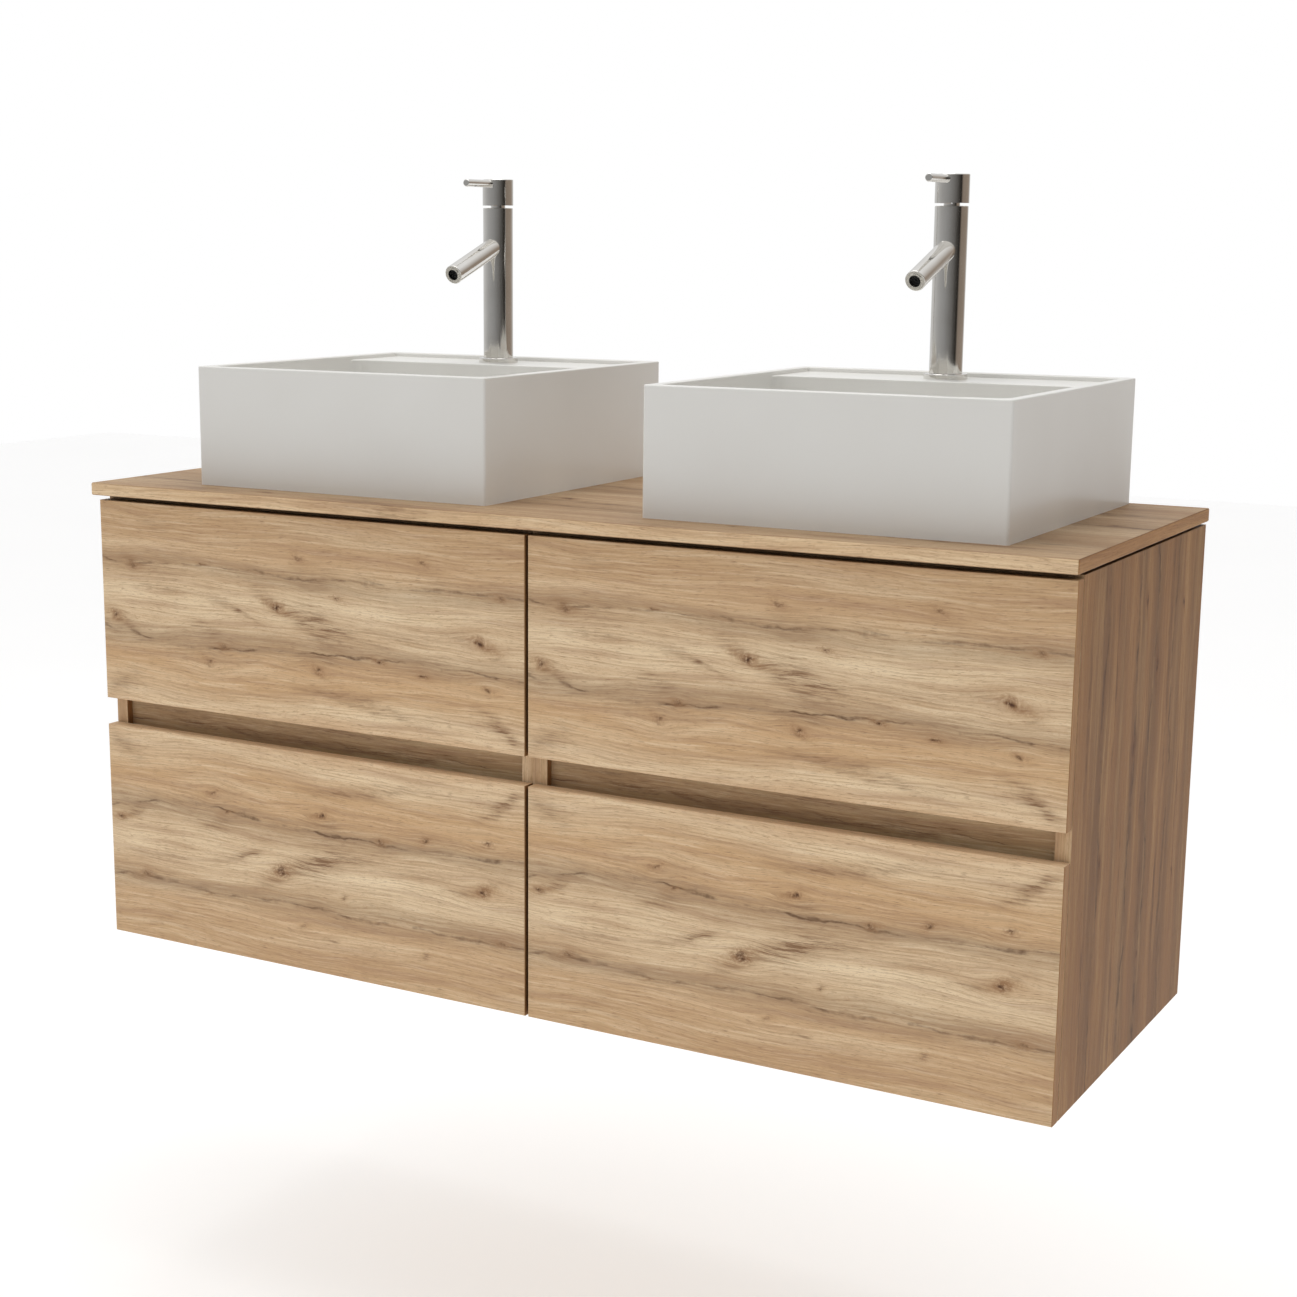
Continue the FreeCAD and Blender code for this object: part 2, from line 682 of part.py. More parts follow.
def trap(side):
    """A bottle trap: the body with its side outlet, the screw-off cup, the inlet nut, the pipe."""
    spot = (f"{side}_basin_axis", "waste_y", "0")
    seam = "(trap_bottom + trap_cup_height)"
    top = "(tail_bottom + trap_neck_height)"
    nut_low = f"{top} - trap_nut_height"
    shoulder_low = "(tail_bottom - trap_shoulder_low)"
    shoulder_high = "(tail_bottom - trap_shoulder_high)"
    inner = "trap_radius - trap_wall"
    body = new_body(f"{side}_trap_body")
    revolve(body, [(inner, seam), ("trap_radius", seam), ("trap_radius", shoulder_low),
                   ("trap_neck_radius", shoulder_high), ("trap_neck_radius", nut_low),
                   ("tail_radius", nut_low),
                   ("tail_radius", f"{shoulder_high} - trap_shoulder_wall"),
                   (inner, f"{shoulder_low} - trap_shoulder_wall")])
    sketch = new_sketch(body, "XZ_Plane")
    add_circle(sketch, "outlet_stub_radius", ("0", "trap_outlet_height"))
    before = body.Shape.BoundBox.YMax
    pad(body, sketch, "outlet_stub_reach", reverse=True)
    if body.Shape.BoundBox.YMax < before + 1:
        raise RuntimeError("the trap's outlet points away from the wall")
    sketch = new_sketch(body, "XY_Plane", seam)
    add_circle(sketch, inner)
    pocket(body, sketch, f"{shoulder_low} - trap_shoulder_wall - {seam}", reverse=True)
    sketch = new_sketch(body, "XZ_Plane")
    add_circle(sketch, "tail_radius", ("0", "trap_outlet_height"))
    pocket(body, sketch, "outlet_stub_reach + overcut")
    place(body, spot)

    cup = new_body(f"{side}_trap_cup")
    outer = "trap_radius + trap_cup_lip"
    revolve(cup, [("0", "trap_bottom"), ("trap_radius - 2 * trap_wall", "trap_bottom"),
                  (outer, "trap_bottom + trap_cup_base"), (outer, seam), (inner, seam),
                  (inner, "trap_bottom + trap_cup_base + trap_cup_lip"),
                  ("0", "trap_bottom + 2 * trap_cup_lip")])
    place(cup, spot)
    nut = new_body(f"{side}_trap_nut")
    revolve(nut, [("tail_radius", nut_low), ("trap_nut_radius", nut_low),
                  ("trap_nut_radius", f"{top} - trap_nut_chamfer"),
                  ("trap_nut_radius - trap_nut_chamfer", top), ("tail_radius", top)])
    place(nut, spot)
    group(f"{side}_trap", [body, cup, nut])

    pipe = new_body(f"{side}_outlet_pipe")
    sketch = new_sketch(pipe, "XZ_Plane")
    add_circle(sketch, "tail_radius")
    add_circle(sketch, "tail_radius - pipe_wall")
    pad(pipe, sketch, "-waste_y - trap_radius - pipe_start_gap")
    # A bead stops the coupling that slides over the pipe's end.
    sketch = new_sketch(pipe, "XZ_Plane", "coupling_length")
    add_circle(sketch, "tail_radius + pipe_wall")
    add_circle(sketch, "tail_radius - pipe_wall / 2")
    pad(pipe, sketch, "bead_length")
    place(pipe, (f"{side}_basin_axis", "0", "trap_outlet_height"))
    keep(pipe, f"{side}_outlet_pipe")


# ---------------------------------------------------------------- taps

def tap(side):
    """A single-lever tap: base, body with spout, cartridge, turret, spindle, cap and lever."""
    spot = (f"{side}_basin_axis", "tap_y", DECK_HIGH)
    base = new_body(f"{side}_tap_base")
    revolve(base, [("shank_bore", "0"), ("base_radius", "0"),
                   ("base_radius", "base_height"), ("shank_bore", "base_height")])
    round_edges(base, lambda edge: at_height(number("base_height"))(edge)
                and edge.BoundBox.XLength > number("2 * shank_bore + 1"), "tap_round")
    place(base, spot)
    keep(base, f"{side}_tap_base")

    cartridge_low = "(tap_height - cartridge_height)"
    column = new_body(f"{side}_tap_column")
    revolve(column, [("chamber_radius", "base_height"), ("tap_radius", "base_height"),
                     ("tap_radius", "tap_height - tap_chamfer"),
                     ("tap_radius - tap_chamfer", "tap_height"),
                     ("cartridge_radius", "tap_height"), ("cartridge_radius", cartridge_low),
                     ("chamber_radius", cartridge_low)])
    place(column, spot)
    spout_turn = (1, 0, 0, "90 + spout_drop")
    spout_root = (f"{side}_basin_axis", "tap_y", f"{DECK_HIGH} + spout_height")
    spout = cylinder(f"{side}_spout", "spout_radius", "spout_length", spout_root, spout_turn)
    chamber = cylinder(f"{side}_chamber", "chamber_radius",
                       "tap_height - cartridge_height - base_height",
                       (spot[0], spot[1], f"{DECK_HIGH} + base_height"))
    waterway = cylinder(f"{side}_waterway", "spout_bore", "spout_length + overcut", spout_root,
                        spout_turn)
    seat_start = "(spout_length - aerator_length)"
    seat = cylinder(f"{side}_aerator_seat", "aerator_radius", "aerator_length + overcut",
                    along_spout(side, seat_start), spout_turn)
    joined = fuse(f"{side}_tap_joined", column, spout)
    bored = cut(f"{side}_tap_bored", joined, chamber)
    drilled = cut(f"{side}_tap_drilled", bored, waterway)
    seated = cut(f"{side}_tap_seated", drilled, seat)
    doc.recompute()
    finished = doc.addObject("Part::Fillet", f"{side}_tap_body")
    finished.Base = seated
    lip = number("spout_round")
    finished.Edges = [(index, lip, lip) for index in spout_lip_edges(seated.Shape)]
    keep(finished, f"{side}_tap_body")

    aerator = new_body(f"{side}_aerator")
    revolve(aerator, [("0", "aerator_screen"), ("aerator_bore", "aerator_screen"),
                      ("aerator_bore", "aerator_length + spout_round"),
                      ("aerator_radius - spout_round", "aerator_length + spout_round"),
                      ("aerator_radius - spout_round", "aerator_length"),
                      ("aerator_radius", "aerator_length"), ("aerator_radius", "0"), ("0", "0")])
    place(aerator, along_spout(side, seat_start))
    aerator.Placement.Rotation = FreeCAD.Rotation(FreeCAD.Vector(1, 0, 0), 0)
    bind(aerator, "Placement.Rotation.Angle", "90 + spout_drop")

    cartridge = new_body(f"{side}_cartridge")
    socket = "turret_radius + running_gap"
    socket_low = f"{cartridge_low} + cartridge_floor"
    revolve(cartridge, [("0", cartridge_low), ("cartridge_radius", cartridge_low),
                        ("cartridge_radius", "tap_height"), (socket, "tap_height"),
                        (socket, socket_low), ("0", socket_low)])
    place(cartridge, spot)

    shank = new_body(f"{side}_shank")
    revolve(shank, [("shank_bore", "-shank_length"), ("shank_radius", "-shank_length"),
                    ("shank_radius", "0"), ("shank_bore", "0")])
    place(shank, spot)
    nut = new_body(f"{side}_shank_nut")
    nut_low = "-deck_thickness - shank_nut_height"
    revolve(nut, [("shank_radius", nut_low), ("shank_nut_radius", nut_low),
                  ("shank_nut_radius", "-deck_thickness"), ("shank_radius", "-deck_thickness")])
    place(nut, spot)
    handle(side, spot, f"({socket_low} + running_gap)")
    return aerator, cartridge, shank, nut


def along_spout(side, distance):
    """The point on the spout's axis at a distance from the tap's axis."""
    return (f"{side}_basin_axis",
            f"tap_y - {distance} * cos(spout_drop * 1deg)",
            f"{DECK_HIGH} + spout_height - {distance} * sin(spout_drop * 1deg)")


def spout_lip_edges(shape):
    """The numbers of the round edges at the spout's outer end."""
    radius = number("spout_radius")
    limit = shape.BoundBox.YMin + 2 * radius
    chosen = []
    for index, edge in enumerate(shape.Edges, start=1):
        circular = edge.Curve.TypeId == "Part::GeomCircle"
        if circular and abs(edge.Curve.Radius - radius) < TOLERANCE and edge.BoundBox.YMax < limit:
            chosen.append(index)
    return chosen


def handle(side, spot, turret_low):
    """What the user moves: the turret turns, and the spindle, cap and lever tilt on its pin."""
    turret = new_body(f"{side}_turret_body")
    revolve(turret, [("0", turret_low), ("turret_radius", turret_low),
                     ("turret_radius", "pivot_height + turret_rise"),
                     ("0", "pivot_height + turret_rise")])
    slot_half = "(spindle_width / 2 + running_gap)"
    slot_end = "(turret_radius + overcut)"
    sketch = new_sketch(turret, "XY_Plane", "pivot_height - slot_drop")
    add_outline(sketch, rectangle(f"-{slot_half}", f"-{slot_end}", slot_half, slot_end))
    pocket(turret, sketch, "slot_drop + turret_rise + overcut", reverse=True)
    sketch = new_sketch(turret, "YZ_Plane", f"-{slot_end}")
    add_circle(sketch, "pin_radius", ("0", "pivot_height"))
    pocket(turret, sketch, f"2 * {slot_end}", reverse=True)
    place(turret, spot)
    pin = new_body(f"{side}_pin")
    sketch = new_sketch(pin, "YZ_Plane", "pin_inset - turret_radius")
    add_circle(sketch, "pin_radius", ("0", "pivot_height"))
    pad(pin, sketch, "2 * (turret_radius - pin_inset)")
    place(pin, spot)
    group(f"{side}_turret", [turret, pin])

    spindle = new_body(f"{side}_spindle")
    half = "spindle_width / 2"
    sketch = new_sketch(spindle, "XY_Plane", "pivot_height - spindle_drop")
    add_outline(sketch, rectangle(f"-{half}", f"-{half}", half, half))
    pad(spindle, sketch, "spindle_height")
    sketch = new_sketch(spindle, "YZ_Plane", "-spindle_width")
    add_circle(sketch, "pin_radius + running_gap / 2", ("0", "pivot_height"))
    pocket(spindle, sketch, "2 * spindle_width", reverse=True)
    place(spindle, spot)
    keep(spindle, f"{side}_spindle")

    cap_low = "(tap_height + cap_gap)"
    cap_high = "(tap_height + cap_gap + cap_height)"
    cavity_high = f"({cap_low} + cap_cavity_height)"
    cap = new_body(f"{side}_tap_cap")
    revolve(cap, [("0", cavity_high), ("cap_cavity_radius", cavity_high),
                  ("cap_cavity_radius", cap_low), ("cap_radius", cap_low),
                  ("cap_radius", cap_high), ("0", cap_high)])
    round_edges(cap, at_height(number(cap_high)), "tap_round")
    sketch = new_sketch(cap, "XY_Plane", cavity_high)
    add_outline(sketch, rectangle(f"-{half}", f"-{half}", half, half))
    pocket(cap, sketch, f"pivot_height + spindle_height - spindle_drop - {cavity_high}",
           reverse=True)
    sketch = new_sketch(cap, "XZ_Plane", "cap_radius - lever_root")
    add_circle(sketch, "lever_radius", ("0", "lever_height"))
    pocket(cap, sketch, "lever_root + overcut", reverse=True)
    # The rear underside rises, so that the cap clears the body when the lever is lifted.
    past_rim = "(cap_radius + overcut)"
    sketch = new_sketch(cap, "YZ_Plane", f"-{past_rim}")
    rise = f"({past_rim} - relief_start) * tan(relief_angle * 1deg)"
    add_outline(sketch, [("relief_start", cap_low), (past_rim, cap_low),
                         (past_rim, f"{cap_low} + {rise}")])
    pocket(cap, sketch, f"2 * {past_rim}", reverse=True)
    place(cap, spot)
    keep(cap, f"{side}_tap_cap")

    lever = new_body(f"{side}_lever")
    sketch = new_sketch(lever, "XZ_Plane", "cap_radius - lever_root")
    add_circle(sketch, "lever_radius", ("0", "lever_height"))
    pad(lever, sketch, "lever_reach - cap_radius + lever_root")
    front = lever.Shape.BoundBox.YMin
    round_edges(lever, lambda edge: edge.BoundBox.YMax < front + TOLERANCE, "tap_round")
    place(lever, spot)
    keep(lever, f"{side}_lever")


# ---------------------------------------------------------------- assembly

stretchers = []
waste_nuts = []
tap_details = {"aerators": [], "cartridges": [], "tap_shanks": []}
for side, left_edge in (("left", "-cabinet_width"), ("right", "0")):
    stretchers.append(carcass(side, left_edge))
    channels = []
    for level in LEVELS:
        drawer(side, level, left_edge)
        channels += runner_pair(side, level, left_edge)
    group(f"{side}_runners", channels)
    basin(side)
    waste_nuts.append(waste(side))
    trap(side)
    aerator, cartridge, shank, shank_nut = tap(side)
    tap_details["aerators"].append(aerator)
    tap_details["cartridges"].append(cartridge)
    tap_details["tap_shanks"] += [shank, shank_nut]
group("front_stretchers", stretchers)
connectors()
countertop()
group("waste_nuts", waste_nuts)
for label, members in tap_details.items():
    group(label, members)

doc.recompute()
for thing in doc.Objects:
    if "Invalid" in thing.State or "Error" in thing.State:
        raise RuntimeError(f"{thing.Label} failed: {thing.State}")
os.makedirs("parts", exist_ok=True)
for node in nodes:
    if node.Shape.isNull() or not node.Shape.isValid():
        raise RuntimeError(f"{node.Label} has no valid shape")
    node.Shape.exportStep(f"parts/{node.Label}.step")
    bounds = node.Shape.BoundBox
    print(f"{node.Label}: {len(node.Shape.Solids)} solids, {node.Shape.Volume / 1000:.1f} cm3, "
          f"x {bounds.XMin:.1f} {bounds.XMax:.1f}, y {bounds.YMin:.1f} {bounds.YMax:.1f}, "
          f"z {bounds.ZMin:.1f} {bounds.ZMax:.1f}")
print(len(nodes), "nodes")
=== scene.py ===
import json
import math

import bmesh
import bpy
from mathutils import Euler, Matrix, Vector


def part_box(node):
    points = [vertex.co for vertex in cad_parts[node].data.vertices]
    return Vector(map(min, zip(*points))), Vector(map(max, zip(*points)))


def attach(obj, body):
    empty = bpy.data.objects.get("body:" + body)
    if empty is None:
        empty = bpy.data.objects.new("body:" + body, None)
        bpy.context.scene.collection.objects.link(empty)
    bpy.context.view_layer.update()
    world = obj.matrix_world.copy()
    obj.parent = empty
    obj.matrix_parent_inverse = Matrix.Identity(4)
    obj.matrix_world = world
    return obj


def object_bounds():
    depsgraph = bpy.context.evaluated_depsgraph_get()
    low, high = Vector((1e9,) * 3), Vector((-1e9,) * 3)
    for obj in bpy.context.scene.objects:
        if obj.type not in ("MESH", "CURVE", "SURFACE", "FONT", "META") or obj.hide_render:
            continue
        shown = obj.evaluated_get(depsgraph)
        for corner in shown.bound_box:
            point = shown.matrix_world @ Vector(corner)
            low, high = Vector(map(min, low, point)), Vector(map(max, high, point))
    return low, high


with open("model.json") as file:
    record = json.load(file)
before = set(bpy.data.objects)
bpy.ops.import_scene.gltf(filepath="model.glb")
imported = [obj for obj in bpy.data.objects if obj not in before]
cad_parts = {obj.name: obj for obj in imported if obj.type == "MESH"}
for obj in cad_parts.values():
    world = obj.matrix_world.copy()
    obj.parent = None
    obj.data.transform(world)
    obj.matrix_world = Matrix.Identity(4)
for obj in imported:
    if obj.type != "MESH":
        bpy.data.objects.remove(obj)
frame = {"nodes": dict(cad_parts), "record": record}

# The finished look of the double vanity. Metres, in the part's own frame: X right, Y back to
# the wall, Z up, with the fronts facing -Y.

cad_bounds = [list(corner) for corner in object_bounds()]
NODES = frame["nodes"]
SIDES = ("left", "right")
LEVELS = ("lower", "upper")


# ---------------------------------------------------------------- camera

CAMERA_SENSOR = 36     # millimetres wide
CAMERA_LENS = 60.41    # millimetres
CAMERA_SHIFT = (0.0605, 0.0204)
CAMERA_PLACE = (1.2035, -2.4034, 0.8458)
CAMERA_TURN = 30.5     # degrees, towards the left
CAMERA_FALL = 11.32    # degrees below the level
CAMERA_ROLL = -0.2


def make_camera():
    """The camera stands right of the middle and above the countertop, and looks to the left."""
    data = bpy.data.cameras.new("camera")
    data.sensor_width = CAMERA_SENSOR
    data.lens = CAMERA_LENS
    data.shift_x, data.shift_y = CAMERA_SHIFT
    camera = bpy.data.objects.new("camera", data)
    camera.location = CAMERA_PLACE
    camera.rotation_euler = Euler((math.radians(90 - CAMERA_FALL), math.radians(CAMERA_ROLL),
                                   math.radians(CAMERA_TURN)))
    bpy.context.scene.collection.objects.link(camera)
    bpy.context.scene.camera = camera


# ---------------------------------------------------------------- node helpers

class Graph:
    """A node tree, with short calls for the nodes that the materials repeat."""

    def __init__(self, tree):
        self.tree = tree
        tree.nodes.clear()

    def add(self, kind, **settings):
        node = self.tree.nodes.new(kind)
        for key, value in settings.items():
            setattr(node, key, value)
        return node

    def link(self, source, target):
        self.tree.links.new(source, target)

    def feed(self, socket, value):
        """Join an output to a socket, or set a plain value on it."""
        if isinstance(value, bpy.types.NodeSocket):
            self.link(value, socket)
        else:
            socket.default_value = value

    def math(self, operation, *values, clamp=False):
        node = self.add("ShaderNodeMath", operation=operation, use_clamp=clamp)
        for socket, value in zip(node.inputs, values):
            self.feed(socket, value)
        return node.outputs[0]

    def total(self, values):
        result = values[0]
        for value in values[1:]:
            result = self.math("ADD", result, value)
        return result

    def scale(self, vector, factors):
        node = self.add("ShaderNodeVectorMath", operation="MULTIPLY")
        self.link(vector, node.inputs[0])
        node.inputs[1].default_value = factors
        return node.outputs[0]

    def split(self, vector):
        node = self.add("ShaderNodeSeparateXYZ")
        self.link(vector, node.inputs[0])
        return node.outputs

    def combine(self, x, y, z):
        node = self.add("ShaderNodeCombineXYZ")
        for socket, value in zip(node.inputs, (x, y, z)):
            self.feed(socket, value)
        return node.outputs[0]

    def noise_node(self, vector, scale, detail, roughness=0.5, distortion=0.0):
        node = self.add("ShaderNodeTexNoise")
        self.link(vector, node.inputs["Vector"])
        node.inputs["Scale"].default_value = scale
        node.inputs["Detail"].default_value = detail
        node.inputs["Roughness"].default_value = roughness
        node.inputs["Distortion"].default_value = distortion
        return node

    def noise(self, *settings):
        """Grey noise, from the settings of noise_node."""
        return self.noise_node(*settings).outputs["Fac"]

    def ramp(self, value, stops):
        """A colour ramp through (position, colour or grey) stops."""
        node = self.add("ShaderNodeValToRGB")
        self.link(value, node.inputs[0])
        elements = node.color_ramp.elements
        while len(elements) < len(stops):
            elements.new(1.0)
        for element, (place, colour) in zip(elements, stops):
            element.position = place
            grey = isinstance(colour, (int, float))
            element.color = (colour, colour, colour, 1) if grey else (*colour, 1)
        return node.outputs[0]

    def mix(self, factor, first, second, blend="MIX"):
        node = self.add("ShaderNodeMix", data_type="RGBA", blend_type=blend)
        self.feed(node.inputs["Factor"], factor)
        for socket, value in ((node.inputs[6], first), (node.inputs[7], second)):
            self.feed(socket, value if isinstance(value, bpy.types.NodeSocket) else (*value, 1))
        return node.outputs[2]

    def tint(self, colour, factors):
        return self.mix(1.0, colour, factors, "MULTIPLY")

    def blend(self, factor, first, second):
        """A plain number between two others."""
        node = self.add("ShaderNodeMix", data_type="FLOAT")
        for place, value in ((0, factor), (2, first), (3, second)):
            self.feed(node.inputs[place], value)
        return node.outputs[0]


class Surface(Graph):
    """A material and its node tree, round one Principled shader."""

    def __init__(self, name):
        self.material = bpy.data.materials.new(name)
        self.material.use_nodes = True
        super().__init__(self.material.node_tree)
        self.shader = self.add("ShaderNodeBsdfPrincipled")
        output = self.add("ShaderNodeOutputMaterial")
        self.link(self.shader.outputs["BSDF"], output.inputs["Surface"])

    def position(self):
        """The place on the piece itself, so that its texture moves with it."""
        return self.add("ShaderNodeTexCoord").outputs["Object"]

    def bump(self, height, strength, distance):
        node = self.add("ShaderNodeBump")
        self.link(height, node.inputs["Height"])
        node.inputs["Strength"].default_value = strength
        node.inputs["Distance"].default_value = distance
        self.link(node.outputs[0], self.shader.inputs["Normal"])

    def finish(self, **values):
        """Set the shader's sockets by name, with spaces written as underscores."""
        for key, value in values.items():
            self.feed(self.shader.inputs[key.replace("_", " ")], value)
        return self.material


def hexed(code):
    """A linear colour from a six-digit sRGB code."""
    parts = [int(code[i:i + 2], 16) / 255 for i in (0, 2, 4)]
    return tuple(p / 12.92 if p <= 0.04045 else ((p + 0.055) / 1.055) ** 2.4 for p in parts)


# ---------------------------------------------------------------- oak decor

# What is printed on a drawer front. Places are parts of the board's length (across) and
# height (up); sizes are metres. The same print lies on the upper and, turned over, the lower fronts.
FRONT_PRINT = {
    # Knots: (across, up, size, darkness).
    "knots": [
        (0.440, 0.560, 1.00, 1.00), (0.910, 0.490, 1.00, 1.00), (0.535, 0.270, 0.80, 0.85),
        (0.270, 0.250, 0.75, 0.55), (0.030, 0.430, 0.80, 0.80), (0.780, 0.310, 0.60, 0.65),
        (0.920, 0.280, 0.75, 0.65), (0.495, 0.800, 0.70, 0.35), (0.780, 0.830, 0.90, 0.35),
        (0.590, 0.630, 0.60, 0.50), (0.305, 0.335, 0.60, 0.75), (0.680, 0.350, 0.60, 0.70),
        (0.950, 0.700, 0.80, 0.45), (0.085, 0.690, 0.90, 0.50), (0.255, 0.730, 0.40, 0.50),
    ],
    # Smears: (across, up, half length, half height, fall along the length, darkness).
    "smears": [
        (0.545, 0.480, 0.034, 0.017, 0.35, 0.85), (0.485, 0.525, 0.024, 0.008, 0.45, 0.70),
        (0.600, 0.460, 0.045, 0.006, 0.20, 0.55), (0.415, 0.600, 0.020, 0.009, 0.50, 0.60),
        (0.325, 0.530, 0.030, 0.005, 0.30, 0.60), (0.360, 0.505, 0.016, 0.003, 0.45, 0.80),
        (0.275, 0.400, 0.026, 0.010, 0.30, 0.60), (0.060, 0.400, 0.022, 0.007, 0.55, 0.80),
        (0.085, 0.700, 0.030, 0.008, 0.20, 0.50), (0.550, 0.325, 0.024, 0.008, 0.00, 0.50),
        (0.040, 0.080, 0.030, 0.014, -0.50, 0.50), (0.960, 0.090, 0.026, 0.007, 0.75, 0.90),
        (0.930, 0.130, 0.016, 0.008, 0.50, 0.50), (0.660, 0.130, 0.075, 0.006, 0.16, 0.55),
        (0.560, 0.165, 0.050, 0.004, 0.02, 0.35), (0.865, 0.505, 0.030, 0.004, 0.12, 0.55),
        (0.140, 0.590, 0.050, 0.003, 0.04, 0.45), (0.540, 0.705, 0.022, 0.006, -0.25, 0.40),
        (0.750, 0.470, 0.060, 0.005, 0.05, 0.30), (0.935, 0.450, 0.014, 0.006, 0.60, 0.50),
        (0.560, 0.845, 0.012, 0.002, 0.00, 0.50), (0.130, 0.900, 0.020, 0.008, 0.40, 0.35),
    ],
    # Cracks: (heights at even steps from left to right, darkness).
    "cracks": [
        ((0.722, 0.700, 0.720, 0.712, 0.702, 0.716, 0.706, 0.712, 0.708), 0.75),
        ((0.385, 0.338, 0.318, 0.335, 0.352, 0.356, 0.360, 0.352, 0.335), 1.00),
    ],
    # The ground tone from the bottom of the board to its top.
    "ground": [
        (0.00, "C0A07A"), (0.08, "CBB08A"), (0.17, "B7946B"), (0.28, "BB986F"), (0.35, "A88C6A"),
        (0.43, "C6AB86"), (0.56, "CEB590"), (0.65, "C0A47F"), (0.705, "A58A69"), (0.78, "BD9D76"),
        (0.90, "B1906A"), (1.00, "B8976F"),
    ],
}
TOP_PRINT = {
    "knots": [(0.20, 0.06, 0.8, 0.7), (0.47, 0.35, 1.0, 0.9), (0.86, 0.20, 0.9, 0.8),
              (0.08, 0.66, 0.9, 0.8), (0.965, 0.55, 0.9, 0.8), (0.69, 0.09, 0.6, 0.5)],
    "smears": [
        (0.115, 0.045, 0.060, 0.009, 0.10, 0.95), (0.33, 0.020, 0.070, 0.010, 0.12, 0.75),
        (0.52, 0.30, 0.090, 0.009, 0.10, 1.10), (0.62, 0.030, 0.050, 0.008, 0.08, 0.55),
        (0.90, 0.10, 0.080, 0.008, 0.05, 0.95), (0.05, 0.30, 0.060, 0.010, 0.10, 0.50),
        (0.48, 0.62, 0.080, 0.010, 0.10, 1.10), (0.94, 0.75, 0.090, 0.012, 0.10, 1.00),
        (0.78, 0.05, 0.060, 0.006, 0.06, 0.50),
    ],
    "cracks": [((0.20, 0.17, 0.21, 0.24, 0.22, 0.19, 0.23, 0.20, 0.18), 0.7),
               ((0.55, 0.58, 0.54, 0.50, 0.53, 0.56, 0.52, 0.55, 0.53), 0.8)],
    "ground": [
        (0.00, "C4A67F"), (0.12, "C9AE88"), (0.22, "AE906B"), (0.34, "C5A983"), (0.48, "CBB18C"),
        (0.56, "AB8E6A"), (0.68, "C3A680"), (0.84, "B7966E"), (1.00, "BF9F78"),
    ],
}
SIDE_PRINT = {
    "knots": [(0.62, 0.45, 0.9, 1.0), (0.44, 0.22, 0.7, 0.9), (0.86, 0.83, 0.7, 0.8),
              (0.90, 0.50, 0.7, 1.0), (0.30, 0.86, 0.6, 0.7), (0.18, 0.58, 0.6, 0.7),
              (0.76, 0.62, 0.8, 0.9)],
    "smears": [
        (0.89, 0.50, 0.018, 0.005, 0.02, 1.3), (0.76, 0.62, 0.026, 0.006, 0.03, 1.3),
        (0.58, 0.44, 0.060, 0.005, 0.02, 1.3), (0.64, 0.46, 0.030, 0.008, 0.06, 1.0),
        (0.53, 0.54, 0.030, 0.004, -0.03, 1.1), (0.86, 0.17, 0.090, 0.003, 0.01, 1.0),
        (0.80, 0.28, 0.110, 0.003, 0.01, 1.0), (0.44, 0.22, 0.028, 0.006, 0.02, 1.1),
        (0.33, 0.56, 0.070, 0.004, 0.02, 1.1), (0.27, 0.70, 0.080, 0.003, 0.01, 1.0),
        (0.66, 0.72, 0.100, 0.003, 0.02, 0.9), (0.14, 0.36, 0.070, 0.004, 0.02, 0.9),
        (0.47, 0.86, 0.110, 0.003, 0.01, 0.9), (0.24, 0.12, 0.100, 0.003, 0.01, 0.9),
        (0.70, 0.08, 0.110, 0.003, 0.01, 0.8), (0.10, 0.78, 0.070, 0.004, 0.02, 0.9),
        (0.93, 0.72, 0.060, 0.004, 0.02, 0.9), (0.38, 0.38, 0.070, 0.003, -0.01, 0.9),
    ],
    "cracks": [((0.44, 0.43, 0.45, 0.44, 0.45, 0.46, 0.45, 0.44, 0.45), 0.9),
               ((0.58, 0.57, 0.59, 0.60, 0.58, 0.57, 0.59, 0.60, 0.58), 0.9),
               ((0.20, 0.19, 0.20, 0.21, 0.20, 0.19, 0.18, 0.20, 0.19), 0.8),
               ((0.76, 0.77, 0.75, 0.76, 0.77, 0.76, 0.75, 0.76, 0.77), 0.8)],
    "ground": [
        (0.00, "B79872"), (0.09, "A98A65"), (0.17, "85694C"), (0.24, "B3946E"), (0.30, "8A6E50"),
        (0.38, "B79872"), (0.45, "80654A"), (0.52, "B5966F"), (0.60, "7E644A"), (0.68, "B0906A"),
        (0.77, "866A4D"), (0.85, "B5966F"), (0.93, "8F7456"), (1.00, "A88A65"),
    ],
}
RAIL_PRINT = {
    "knots": [],
    "smears": [(0.22, 0.42, 0.080, 0.005, 0.02, 1.0), (0.42, 0.38, 0.070, 0.006, -0.01, 1.0),
               (0.66, 0.35, 0.090, 0.005, 0.01, 1.0), (0.80, 0.45, 0.070, 0.005, 0.02, 0.9),
               (0.55, 0.55, 0.110, 0.004, -0.02, 0.7), (0.10, 0.55, 0.060, 0.004, 0.02, 0.6)],
    "cracks": [((0.36, 0.38, 0.37, 0.40, 0.38, 0.36, 0.39, 0.38, 0.36), 0.9)],
    # The ground is darker in its lower part: partly the print's streaks, partly painted shade.
    "ground": [(0.00, "A08562"), (0.30, "94784F"), (0.45, "9E815C"), (0.60, "B59A73"),
               (1.00, "AB8C67")],
}
